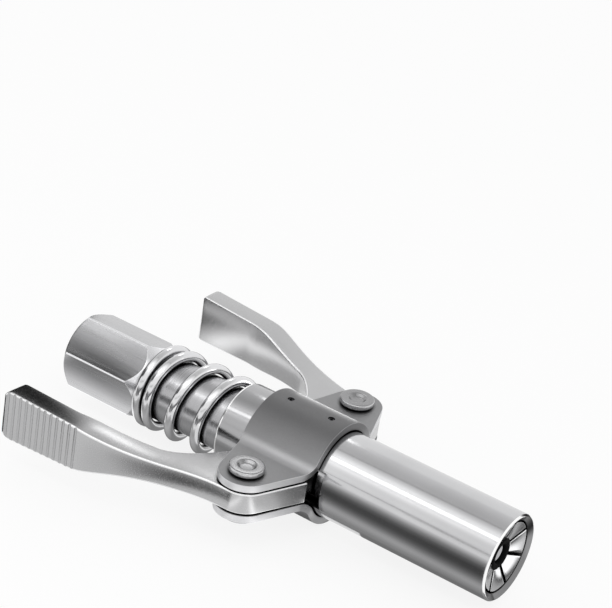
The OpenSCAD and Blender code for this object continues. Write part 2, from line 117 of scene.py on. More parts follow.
class CouplerSizes(bpy.types.PropertyGroup):
    """Sizes of the pieces that the frame's boxes do not give."""
    hex_flats: length("Hexagon flats", "Hexagon size across its flats", 17 * MM)
    hex_edge: length("Hexagon edge", "Rounding of the hexagon's long edges", 0.3 * MM)
    wire: length("Spring wire", "Thickness of the return spring's wire", 2.3 * MM)
    sleeve_bore: length("Sleeve bore", "Radius of the sleeve's bore", 7.68 * MM)
    window_rear: length("Window rear", "Distance from the pivots forward to the window", 3.07 * MM)
    window_len: length("Window length", "Length of the lever windows", 9.17 * MM)
    window_height: length("Window height", "Height of the lever windows", 9.3 * MM)
    sheet: length("Saddle sheet", "Thickness of the saddle's sheet", 1.7 * MM)
    sheet_edge: length("Saddle edge", "Rounding of the saddle's pressed edges", 0.6 * MM)
    ear: length("Ear radius", "Radius of the ears round the pivots", 6 * MM)
    bend: length("Saddle bend", "Bend radius between crown and ears", 3.5 * MM)
    pin: length("Pin hole", "Radius of the pin holes in the saddle", 0.8 * MM)
    pin_spacing: length("Pin spacing", "Distance between the two pins of a saddle", 10.8 * MM)
    lever: length("Lever height", "Height of the levers between the ears", 5.1 * MM)
    lever_drop: length("Lever drop", "How far the levers sit below the middle", 0.1 * MM)
    lever_thick: length("Lever thickness", "Thickness of the lever arm seen from above", 5.5 * MM)
    lever_edge: length("Lever edge", "Rounding of the levers' edges", 0.4 * MM)
    pad_height: length("Pad height", "Height of the thumb pads at their ends", 11.8 * MM)
    pad_front: length("Pad front height", "Height of the thumb pads where the arms start", 10.8 * MM)
    pad_len: length("Pad length", "Length of the thumb pads", 20.3 * MM)
    groove: length("Grip groove", "Radius of the grip grooves", 0.42 * MM)
    groove_pitch: length("Groove pitch", "Distance between the grip grooves", 1.7 * MM)
    slit: length("Jaw slit", "Width of the slits between the jaws", 0.8 * MM)


class CouplerFinish(bpy.types.PropertyGroup):
    """Colours and gloss of the finishes."""
    hexagon: tint("Hexagon", "Colour of the hexagon bar", (0.49, 0.49, 0.5))
    core: tint("Core", "Colour of the core tube", (0.46, 0.46, 0.47))
    sleeve: tint("Sleeve", "Colour of the polished sleeve", (0.6, 0.6, 0.61))
    saddle: tint("Saddle", "Colour of the saddle's sheet", (0.3, 0.3, 0.305))
    lever: tint("Lever", "Colour of the levers", (0.48, 0.48, 0.485))
    rivet: tint("Rivet", "Colour of the rivets", (0.32, 0.32, 0.325))
    spring: tint("Spring", "Colour of the spring wire", (0.72, 0.72, 0.73))
    jaw: tint("Jaws", "Colour of the jaws", (0.8, 0.8, 0.81))
    inner: tint("Inner steel", "Colour of the pins and inner springs", (0.1, 0.1, 0.105))
    rubber: tint("Rubber", "Colour of the seals", (0.003, 0.003, 0.0033))
    polish: share("Polish", "Roughness of the polished steel", 0.15)
    satin: share("Satin", "Roughness of the satin steel", 0.24)
    pressed: share("Pressed", "Roughness of the pressed sheet", 0.48)
    # This share brightens rounded edges, chamfers and rims: partly as rubbed edges, partly as painted
    # highlights.
    worn_sheen: share("Wear", "How much brighter worn edges are", 0.75)


class CouplerStage(bpy.types.PropertyGroup):
    """Camera, floor and light."""
    camera: bpy.props.FloatVectorProperty(
        name="Camera", description="Place of the camera", default=(0.26807, -0.35572, 0.24663),
        size=3, subtype="TRANSLATION", unit="LENGTH")
    azimuth: bpy.props.FloatProperty(name="Azimuth", description="Turn of the view about +Z",
                                     default=math.radians(30.77), subtype="ANGLE")
    elevation: bpy.props.FloatProperty(name="Elevation", description="Height of the view above the horizon",
                                       default=math.radians(27.03), subtype="ANGLE")
    roll: bpy.props.FloatProperty(name="Roll", description="Roll of the camera about its view",
                                  default=math.radians(9.49), subtype="ANGLE")
    lens: bpy.props.FloatProperty(name="Lens", description="Focal length on a 36 mm sensor, in millimetres",
                                  default=128.49, min=10.0)
    strip: bpy.props.FloatProperty(name="Strip light", description="Power of the overhead strip light",
                                   default=0.53, min=0.0, unit="POWER")
    floor: tint("Floor", "Colour of the floor and the world", (1.0, 1.0, 1.0))


# Finishes

def node_of(tree, kind, **values):
    """A shader node with its properties and unlinked inputs set."""
    made = tree.nodes.new(kind)
    for key, value in values.items():
        if hasattr(made, key):
            setattr(made, key, value)
        else:
            made.inputs[key.replace("_", " ")].default_value = value
    return made


def grain(tree, stretch, detail):
    """Noise on Object coordinates, stretched by a scale for each axis."""
    place = node_of(tree, "ShaderNodeTexCoord")
    turn_scale = node_of(tree, "ShaderNodeMapping", Scale=stretch)
    noise = node_of(tree, "ShaderNodeTexNoise", Scale=1.0, Detail=detail, Roughness=0.6)
    tree.links.new(place.outputs["Object"], turn_scale.inputs["Vector"])
    tree.links.new(turn_scale.outputs["Vector"], noise.inputs["Vector"])
    return noise.outputs["Fac"]


def ranged(tree, value, source, target, **values):
    """Maps a number socket from one range onto another."""
    made = node_of(tree, "ShaderNodeMapRange", **values)
    for side, (low, high) in (("From", source), ("To", target)):
        made.inputs[f"{side} Min"].default_value = low
        made.inputs[f"{side} Max"].default_value = high
    tree.links.new(value, made.inputs["Value"])
    return made.outputs["Result"]


def spread(tree, noise, low, high):
    """Maps noise, which lies mostly between 0.3 and 0.7, onto a range."""
    return ranged(tree, noise, (0.3, 0.7), (low, high))


def scaled(tree, colour, factor):
    """A colour socket times a number socket."""
    made = node_of(tree, "ShaderNodeMix", data_type="RGBA", blend_type="MULTIPLY")
    made.inputs["Factor"].default_value = 1.0
    tree.links.new(colour, made.inputs["A"])
    tree.links.new(factor, made.inputs["B"])
    return made.outputs["Result"]


def painted_tone(tree):
    """1 on plain faces, more on brightened edges and painted highlights, less on dull faces and painted
    shade: the pieces' tone attribute.
    """
    mark = node_of(tree, "ShaderNodeAttribute", attribute_name=TONE)
    made = node_of(tree, "ShaderNodeMath", operation="ADD")
    made.inputs[1].default_value = 1.0
    tree.links.new(mark.outputs["Fac"], made.inputs[0])
    return made.outputs["Value"]


def painted_corner_shade(tree):
    """Painted shade: 1 in the open, less in corners and gaps, from ambient occlusion."""
    corner = node_of(tree, "ShaderNodeAmbientOcclusion", samples=8, Distance=1.2 * MM)
    return ranged(tree, corner.outputs["AO"], (0.3, 0.85), (0.06, 1.0))


def steel(name, colour, rough, marks, no_corner_shade=False):
    """Steel with tool marks, faint clouding, brighter rounded edges (partly rubbed edges, partly painted
    highlights) and, unless told otherwise, painted shade in its corners and gaps.
    """
    cloud, vary, depth = 45.0, 0.05, 0.04
    material = bpy.data.materials.new(name)
    material.use_nodes = True
    tree = material.node_tree
    shader = tree.nodes["Principled BSDF"]
    shader.inputs["Metallic"].default_value = 1.0
    fine = grain(tree, marks, 3.0)
    broad = grain(tree, (cloud, cloud, cloud), 2.0)
    mix = node_of(tree, "ShaderNodeMix", data_type="RGBA", blend_type="MIX")
    mix.inputs["A"].default_value = (*[c * (1 - vary) for c in colour], 1)
    mix.inputs["B"].default_value = (*[min(1, c * (1 + vary)) for c in colour], 1)
    tree.links.new(spread(tree, broad, 0.0, 1.0), mix.inputs["Factor"])
    base = scaled(tree, mix.outputs["Result"], painted_tone(tree))
    # Painted shade: ambient occlusion darkens the colour in corners and gaps.
    if not no_corner_shade:
        base = scaled(tree, base, painted_corner_shade(tree))
    tree.links.new(base, shader.inputs["Base Color"])
    tree.links.new(spread(tree, fine, rough * 0.85, rough * 1.2), shader.inputs["Roughness"])
    bump = node_of(tree, "ShaderNodeBump", Strength=depth, Distance=0.05 * MM)
    tree.links.new(fine, bump.inputs["Height"])
    tree.links.new(bump.outputs["Normal"], shader.inputs["Normal"])
    return material


def painted_crown_shade(material, ears, crown, low, high):
    """Paints shade by height: the colour runs from one brightness near the middle of the coupler to another
    further from it.
    """
    tree = material.node_tree
    shader = tree.nodes["Principled BSDF"]
    base = shader.inputs["Base Color"].links[0].from_socket
    place = node_of(tree, "ShaderNodeTexCoord")
    apart = node_of(tree, "ShaderNodeSeparateXYZ")
    level = node_of(tree, "ShaderNodeMath", operation="ABSOLUTE")
    tree.links.new(place.outputs["Object"], apart.inputs["Vector"])
    tree.links.new(apart.outputs["Z"], level.inputs[0])
    reach = ranged(tree, level.outputs["Value"], (low, high), (ears, crown),
                   interpolation_type="SMOOTHSTEP")
    tree.links.new(scaled(tree, base, reach), shader.inputs["Base Color"])


def rubber(name, colour):
    """Moulded black rubber, faintly uneven."""
    material = bpy.data.materials.new(name)
    material.use_nodes = True
    tree = material.node_tree
    shader = tree.nodes["Principled BSDF"]
    shader.inputs["Specular IOR Level"].default_value = 0.03
    noise = grain(tree, (900.0, 900.0, 900.0), 3.0)
    mix = node_of(tree, "ShaderNodeMix", data_type="RGBA", blend_type="MIX")
    mix.inputs["A"].default_value = (*[c * 0.7 for c in colour], 1)
    mix.inputs["B"].default_value = (*[c * 1.5 for c in colour], 1)
    tree.links.new(noise, mix.inputs["Factor"])
    tree.links.new(mix.outputs["Result"], shader.inputs["Base Color"])
    tree.links.new(spread(tree, noise, 0.42, 0.6), shader.inputs["Roughness"])
    return material


def finish(slot):
    """The finish of a material slot, made once."""
    key = f"{slot}_finish"
    if key in bpy.data.materials:
        return bpy.data.materials[key]
    look = bpy.context.scene.coupler_finish
    if slot == "black_rubber":
        return rubber(key, look.rubber)
    turned_marks = (2600.0, 60.0, 60.0)
    drawn_marks = (40.0, 1800.0, 1800.0)
    cast_marks = (4500.0, 4500.0, 4500.0)
    steels = {
        "hexagon_steel": (look.hexagon, look.satin, drawn_marks),
        "core_steel": (look.core, look.satin, turned_marks),
        "sleeve_steel": (look.sleeve, look.polish, turned_marks),
        "saddle_sheet": (look.saddle, look.pressed, cast_marks),
        "lever_steel": (look.lever, look.satin, cast_marks),
        "rivet_steel": (look.rivet, look.satin, cast_marks),
        "spring_wire": (look.spring, look.polish, drawn_marks),
        "jaw_steel": (look.jaw, look.polish, turned_marks),
        "inner_steel": (look.inner, look.satin, cast_marks),
    }
    made = steel(key, *steels[slot], no_corner_shade=slot == "jaw_steel")
    if slot == "saddle_sheet":
        # Painted shade: the saddle's crown is darker than its ears.
        painted_crown_shade(made, ears=1.0, crown=0.55, low=5 * MM, high=9.5 * MM)
    return made


# Shapes

def arc(centre, radius, start, end, steps):
    """Points of an arc in a plane; the angles are in degrees."""
    angles = [math.radians(start + (end - start) * i / steps) for i in range(steps + 1)]
    return [Vector((centre[0] + radius * math.cos(a), centre[1] + radius * math.sin(a))) for a in angles]


def curve(a, b, c, d, steps=14):
    """Points of a cubic curve in a plane."""
    points = []
    for i in range(steps + 1):
        t, s = i / steps, 1 - i / steps
        points.append(a * s ** 3 + b * (3 * s * s * t) + c * (3 * s * t * t) + d * t ** 3)
    return points


def outline(bm, points, place):
    """A face from plane points, each set in space by a function."""
    return bm.faces.new([bm.verts.new(place(p)) for p in points])


def blank():
    """An empty bmesh whose faces carry a tone: above 0 brighter (rubbed edges and painted highlights),
    below 0 darker (dull faces and painted shade).
    """
    bm = bmesh.new()
    bm.faces.layers.float.new(TONE)
    return bm


def shade(bm, faces, tone):
    """Sets the tone of faces."""
    layer = bm.faces.layers.float[TONE]
    for face in faces:
        face[layer] = tone


def soften(bm, verts, offset):
    """Rounds corners of an outline face."""
    bmesh.ops.bevel(bm, geom=verts, offset=offset, offset_type="OFFSET", segments=4, profile=0.5,
                    affect="VERTICES", material=-1, clamp_overlap=True)


def tidy(bm):
    """Merges doubles and turns the faces outwards."""
    bmesh.ops.remove_doubles(bm, verts=bm.verts, dist=1e-7)
    bmesh.ops.recalc_face_normals(bm, faces=bm.faces)


def drawn_out(bm, face, shift):
    """Draws a face out along a shift into a closed body."""
    moved = bmesh.ops.extrude_face_region(bm, geom=[face])["geom"]
    bmesh.ops.translate(bm, vec=shift, verts=[v for v in moved if isinstance(v, bmesh.types.BMVert)])
    tidy(bm)


def turned(points, steps, rounds=(), angle=math.tau, start=0.0):
    """A body turned about X from (x, radius) points; rounds are (offset, corners) pairs."""
    bm = blank()
    first = Matrix.Rotation(start, 3, "X")
    face = outline(bm, points, lambda p: first @ Vector((p[0], p[1], 0)))
    corners = list(face.verts)
    for offset, which in rounds:
        soften(bm, [corners[i] for i in which], offset)
    bmesh.ops.delete(bm, geom=bm.faces[:], context="FACES_ONLY")
    bmesh.ops.spin(bm, geom=bm.verts[:] + bm.edges[:], cent=(0, 0, 0), axis=(1, 0, 0), angle=angle,
                   steps=steps, use_merge=angle == math.tau)
    tidy(bm)
    return bm


def round_edges(bm, offset, segments, sharp, test=lambda edge: True, clamp=True):
    """Rounds the edges that are sharper than an angle in degrees and pass a test."""
    limit = math.radians(sharp)
    edges = [e for e in bm.edges if len(e.link_faces) == 2 and e.calc_face_angle() > limit and test(e)]
    made = bmesh.ops.bevel(bm, geom=edges, offset=offset, offset_type="OFFSET", segments=segments,
                           profile=0.5, affect="EDGES", material=-1, clamp_overlap=clamp)
    # The rounded faces are painted brighter: partly rubbed edges, partly painted edge highlights.
    shade(bm, made["faces"], bpy.context.scene.coupler_finish.worn_sheen)


def cut(bm, tool, operation):
    """Joins a bmesh with a tool bmesh by an exact boolean and gives the result."""
    made = []
    for source in (bm, tool):
        mesh = bpy.data.meshes.new("cut")
        source.to_mesh(mesh)
        source.free()
        made.append(bpy.data.objects.new("cut", mesh))
        bpy.context.scene.collection.objects.link(made[-1])
    boolean = made[0].modifiers.new("cut", "BOOLEAN")
    boolean.operation = operation
    boolean.solver = "EXACT"
    boolean.object = made[1]
    result = bmesh.new()
    result.from_object(made[0], bpy.context.evaluated_depsgraph_get())
    for obj in made:
        mesh = obj.data
        bpy.data.objects.remove(obj)
        bpy.data.meshes.remove(mesh)
    return result


def rods(places, radius, depth, steps=32):
    """Upright cutters at places in the plane, from low to high depth."""
    bm = blank()
    low, high = depth
    for x, y in places:
        middle = Matrix.Translation((x, y, (low + high) / 2))
        bmesh.ops.create_cone(bm, cap_ends=True, cap_tris=False, segments=steps, radius1=radius,
                              radius2=radius, depth=high - low, matrix=middle)
    return bm


def piece(name, bm, body, slot, nodes, smooth=32.0):
    """Makes a finished piece that rides on a body and stands for CAD nodes."""
    mesh = bpy.data.meshes.new(name)
    bm.to_mesh(mesh)
    bm.free()
    mesh.shade_smooth()
    mesh.set_sharp_from_angle(angle=math.radians(smooth))
    obj = bpy.data.objects.new(name, mesh)
    bpy.context.scene.collection.objects.link(obj)
    mesh.materials.append(finish(slot))
    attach(obj, body)
    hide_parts(*nodes)
    return obj


def compress(obj, node):
    """Gives a spring its own copy of its mesh where a joint of the record deforms it."""
    for joint in frame["record"]["behaviour"]["joints"]:
        for soft in joint.get("deforming_nodes", ()):
            if soft["node"] == node:
                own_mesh(obj)


class CouplerOperator:
    """What the operators share."""
    bl_options = {"REGISTER", "UNDO"}


class COUPLER_OT_hexagon(CouplerOperator, bpy.types.Operator):
    """Hexagon with turned chamfers, a tapped inlet and the spigot that holds the core"""
    bl_idname = "coupler.hexagon"
    bl_label = "Hexagon"

    def profile(self, corner, flat):
        """Turned outline that trims the bar: chamfers, spigot, passage and tapped inlet."""
        front, end = SPRING_LOW.x, HEX_HIGH.x
        beyond = corner + MM
        grow = (beyond - flat) / (corner - flat)
        rear_chamfer, front_chamfer = 1.3 * MM * grow, 2.7 * MM * grow
        spigot, passage, lead_in = 4.5 * MM, 1.6 * MM, 1.2 * MM
        inlet, depth, mouth, lip = 4.35 * MM, 10 * MM, 0.9 * MM, 0.8 * MM
        turns, first_crest, pitch, root = 9, 9.3 * MM, 0.907 * MM, 0.5 * MM
        points = [(0.0, flat), (rear_chamfer, beyond), (front - front_chamfer, beyond), (front, flat),
                  (front, spigot), (end, spigot), (end, passage + lead_in), (end - lead_in, passage),
                  (depth, passage), (depth, inlet)]
        for turn in range(turns):
            crest = first_crest - turn * pitch
            points += [(crest, inlet), (crest - pitch / 2, inlet + root)]
        return points + [(mouth, inlet), (0.0, inlet + lip)]

    def execute(self, context):
        size = context.scene.coupler_sizes
        corner = size.hex_flats / 2 / math.cos(math.radians(30))
        flat = size.hex_flats / 2 - 0.2 * MM
        first_corner = math.radians(43.6)
        angles = [first_corner + i * math.pi / 3 for i in range(6)]
        points = [Vector((corner * math.cos(a), corner * math.sin(a))) for a in angles]
        bm = blank()
        end_face = outline(bm, points, lambda p: Vector((-MM, p[0], p[1])))
        drawn_out(bm, end_face, (HEX_HIGH.x + 2 * MM, 0, 0))
        round_edges(bm, size.hex_edge, 3, 40, lambda e: abs((e.verts[0].co - e.verts[1].co).x) > MM)
        bm = cut(bm, turned(self.profile(corner, flat), 144), "INTERSECT")
        tidy(bm)
        half = SPRING_LOW.x / 2
        # Painted highlight: the front chamfers are brightened.
        chamfers = [f for f in bm.faces if 0.2 < f.normal.x < 0.9 and f.calc_center_median().x > half]
        shade(bm, chamfers, context.scene.coupler_finish.worn_sheen)
        obj = piece("hexagon", bm, "core", "hexagon_steel", ["hex_body"], smooth=24.0)
        bevel = obj.modifiers.new("edges", "BEVEL")
        bevel.width = 0.12 * MM
        bevel.segments = 2
        bevel.limit_method = "ANGLE"
        bevel.angle_limit = math.radians(22)
        return {"FINISHED"}


class COUPLER_OT_spring(CouplerOperator, bpy.types.Operator):
    """Return spring, wound left-handed with a closed turn at the hexagon and a flat one at the sleeve"""
    bl_idname = "coupler.spring"
    bl_label = "Return spring"

    def execute(self, context):
        size = context.scene.coupler_sizes
        wire = size.wire
        radius = SPRING_HIGH.z - wire / 2
        first, last = SPRING_LOW.x + wire / 2, SPRING_HIGH.x - wire / 2
        seat, closed, opened, flat = 0.12, 1.3, 2.48, 0.28
        play, wire_end, steps_per_turn = 0.07 * MM, math.radians(250), 64
        closed_x = first + (closed - seat) * (wire + play) / (1 - seat)
        bm = blank()
        start = Matrix.Rotation(wire_end, 4, "X") @ Matrix.Translation((first, radius, 0))
        bmesh.ops.create_circle(bm, cap_ends=True, segments=24, radius=wire / 2, matrix=start)
        geom = bm.verts[:] + bm.edges[:] + bm.faces[:]
        stretches = ((seat, 0.0), (closed - seat, closed_x - first), (opened, last - closed_x), (flat, 0.0))
        for turns, shift in stretches:
            steps = max(4, round(turns * steps_per_turn))
            geom = bmesh.ops.spin(bm, geom=geom, cent=(0, 0, 0), axis=(1, 0, 0), dvec=(shift / steps, 0, 0),
                                  angle=-math.tau * turns, steps=steps, use_merge=False)["geom_last"]
        tidy(bm)
        round_edges(bm, 0.2 * MM, 2, 60)
        compress(piece("return_spring_wire", bm, "core", "spring_wire", ["return_spring"]), "return_spring")
        return {"FINISHED"}


class COUPLER_OT_sleeve(CouplerOperator, bpy.types.Operator):
    """Turned outer sleeve with a lever window on each side and a countersunk mouth"""
    bl_idname = "coupler.sleeve"
    bl_label = "Outer sleeve"

    def mark_ends(self, bm, worn_sheen):
        """Brighter outer rims (rubbed edges and painted highlights), a darker countersink, a duller rear,
        and painted shade on the cone behind the countersink.
        """
        rear, mouth, outer = SLEEVE_LOW.x, SLEEVE_HIGH.x, SLEEVE_HIGH.z
        # The cone inside the mouth gets painted shade; the countersink is only made darker.
        darker_sink, shaded_cone, dull_rear = -0.65, -0.95, -0.32
        for face in bm.faces:
            spot = face.calc_center_median()
            reach = spot.yz.length
            if reach > outer - 0.85 * MM and spot.x < rear + 0.75 * MM:
                shade(bm, [face], worn_sheen)
            elif reach > outer - 0.45 * MM and spot.x > mouth - 0.35 * MM:
                shade(bm, [face], worn_sheen)
            elif spot.x > mouth - 0.74 * MM and reach < outer - 0.5 * MM:
                shade(bm, [face], darker_sink)
            elif spot.x > mouth - 2.6 * MM and reach < outer - 1.4 * MM:
                shade(bm, [face], shaded_cone)
            elif spot.x < SADDLE_LOW.x and reach > outer - 0.1 * MM:
                shade(bm, [face], dull_rear)

    def execute(self, context):
        size = context.scene.coupler_sizes
        rear, mouth, outer, bore = SLEEVE_LOW.x, SLEEVE_HIGH.x, SLEEVE_HIGH.z, size.sleeve_bore
        edge, land, rear_round = 0.4 * MM, 0.1 * MM, 0.75 * MM
        profile = [(rear, bore), (rear, outer), (mouth - edge, outer), (mouth, outer - edge),
                   (mouth, outer - edge - land), (mouth - SINK, bore + CONE_RISE),
                   (mouth - SINK - CONE_LEN, bore)]
        bm = turned(profile, 144, rounds=((rear_round, (1,)), (0.12 * MM, (2, 3)), (0.05 * MM, (5,))))
        low, high = PIVOT.x + size.window_rear, PIVOT.x + size.window_rear + size.window_len
        half = size.window_height / 2
        covered = SADDLE_LOW.x + 2 * MM
        cuts = [((x, 0, 0), ALONG) for x in (covered, low, high)] + [((0, 0, z), UP) for z in (half, -half)]
        for spot, normal in cuts:
            band = [f for f in bm.faces if normal == ALONG or low < f.calc_center_median().x < high]
            geom = {part for f in band for part in (f, *f.edges, *f.verts)}
            bmesh.ops.bisect_plane(bm, geom=list(geom), dist=1e-7, plane_co=spot, plane_no=normal)
        for side in (-1, 1):
            middle = [(f, f.calc_center_median()) for f in bm.faces]
            inside = [f for f, c in middle if low < c.x < high and abs(c.z) < half and c.y * side > 0]
            bmesh.ops.delete(bm, geom=inside, context="FACES")
            rims = [e for e in bm.edges if e.is_boundary]
            bmesh.ops.bridge_loops(bm, edges=rims)
        tidy(bm)
        near = 0.3 * MM
        round_edges(bm, 0.15 * MM, 2, 40, lambda e: all(
            low - near < v.co.x < high + near and abs(v.co.z) < half + near for v in e.verts))
        self.mark_ends(bm, context.scene.coupler_finish.worn_sheen)
        piece("sleeve", bm, "sleeve", "sleeve_steel", ["outer_sleeve"])
        return {"FINISHED"}


class COUPLER_OT_saddle(CouplerOperator, bpy.types.Operator):
    """Pressed sheet saddles above and below the sleeve, with an ear round each pivot"""
    bl_idname = "coupler.saddle"
    bl_label = "Saddles"

    def ear_edge(self, y, corner, ear):
        """Place along X of the saddle's edge at y, on the side of a crown corner."""
        side = 1 if corner.x > PIVOT.x else -1
        pivot = Vector((PIVOT.x, PIVOT.y))
        gap = corner - pivot
        angle = math.atan2(gap.y, gap.x) + side * math.acos(ear / gap.length)
        touch = pivot + ear * Vector((math.cos(angle), math.sin(angle)))
        if y <= corner.y:
            return corner.x
        if y < touch.y:
            return corner.x + (touch.x - corner.x) * (y - corner.y) / (touch.y - corner.y)
        return pivot.x + side * math.sqrt(max(0.0, ear ** 2 - (y - pivot.y) ** 2))

    def paint_folds_and_gaps(self, bm, bend_y, gap, rim):
        """Painted highlights along the folds and on the ear edges; gap is the tone towards the levers, rim
        that of the crown's edges.
        """
        fold_band, fold_highlight, ear_highlight = 3 * MM, 0.45, 1.2
        bm.normal_update()
        layer = bm.faces.layers.float[TONE]
        for face in bm.faces:
            reach = (abs(face.calc_center_median().y) - bend_y) / fold_band
            if -1 < reach < 0 and abs(face.normal.x) < 0.25:
                face[layer] = fold_highlight * math.sin(-reach * math.pi)
                continue
            if abs(face.normal.z) > 0.98 or (reach < 0 and abs(face.normal.x) < 0.25):
                continue
            if reach > 0 and face.normal.z < -0.05:
                face[layer] = gap
            else:
                face[layer] = max(face[layer], rim, ear_highlight * min(1.0, reach + 1))

    def sheet(self, size, gap, rim):
        """The pressed sheet above the sleeve, with the tones of its edges."""
        crown = SADDLE_HIGH.z
        ear_top = SADDLE_LOW.z + size.sheet
        bend_z = ear_top + size.bend
        bend_y = math.sqrt((crown + size.bend) ** 2 - bend_z ** 2)
        lean = math.degrees(math.atan2(bend_z, bend_y))
        ear_angles = [math.radians(a) for a in range(88, -1, -8)]
        section = [Vector((PIVOT.y + size.ear * math.sin(a), ear_top)) for a in ear_angles]
        section += [Vector((bend_y + (PIVOT.y - bend_y) * t, ear_top)) for t in (0.75, 0.5, 0.25)]
        section += arc((bend_y, bend_z), size.bend, 270, 180 + lean, 10)
        section += arc((0, 0), crown, lean, 90, 24)[1:]
        section += [Vector((-p.x, p.y)) for p in reversed(section[:-1])]
        crown_y = crown - size.sheet
        rear, front = Vector((SADDLE_LOW.x, crown_y)), Vector((SADDLE_HIGH.x, crown_y))
        bm = blank()
        chains = []
        for corner in (rear, front):
            verts = [bm.verts.new((self.ear_edge(abs(p.x), corner, size.ear), p.x, p.y)) for p in section]
            chains += [bm.edges.new(pair) for pair in zip(verts, verts[1:])]
        bmesh.ops.bridge_loops(bm, edges=chains)
        bmesh.ops.recalc_face_normals(bm, faces=bm.faces)
        top = max(bm.faces, key=lambda f: f.calc_center_median().z)
        if top.normal.z < 0:
            bmesh.ops.reverse_faces(bm, faces=bm.faces)
        bmesh.ops.solidify(bm, geom=bm.faces[:], thickness=size.sheet)
        tidy(bm)
        round_edges(bm, size.sheet_edge, 4, 50)
        self.paint_folds_and_gaps(bm, bend_y, gap, rim)
        middle = (SADDLE_LOW.x + SADDLE_HIGH.x) / 2
        pins = [(middle + s * size.pin_spacing / 2, 0) for s in (-1, 1)]
        return cut(bm, rods(pins, size.pin, (0, crown + MM)), "DIFFERENCE")

    def execute(self, context):
        size = context.scene.coupler_sizes
        # The upper saddle's gap tone is painted shade between the ears and the levers; the lower saddle's
        # rim tone is a painted highlight on its edges.
        for name, side, gap, rim in (("upper", 1, -0.9, 0.0), ("lower", -1, 0.2, 1.0)):
            bm = self.sheet(size, gap, rim)
            bmesh.ops.scale(bm, vec=(1, 1, side), verts=bm.verts)
            tidy(bm)
            piece(f"saddle_sheet_{name}", bm, "sleeve", "saddle_sheet", [f"saddle_{name}"])
        return {"FINISHED"}


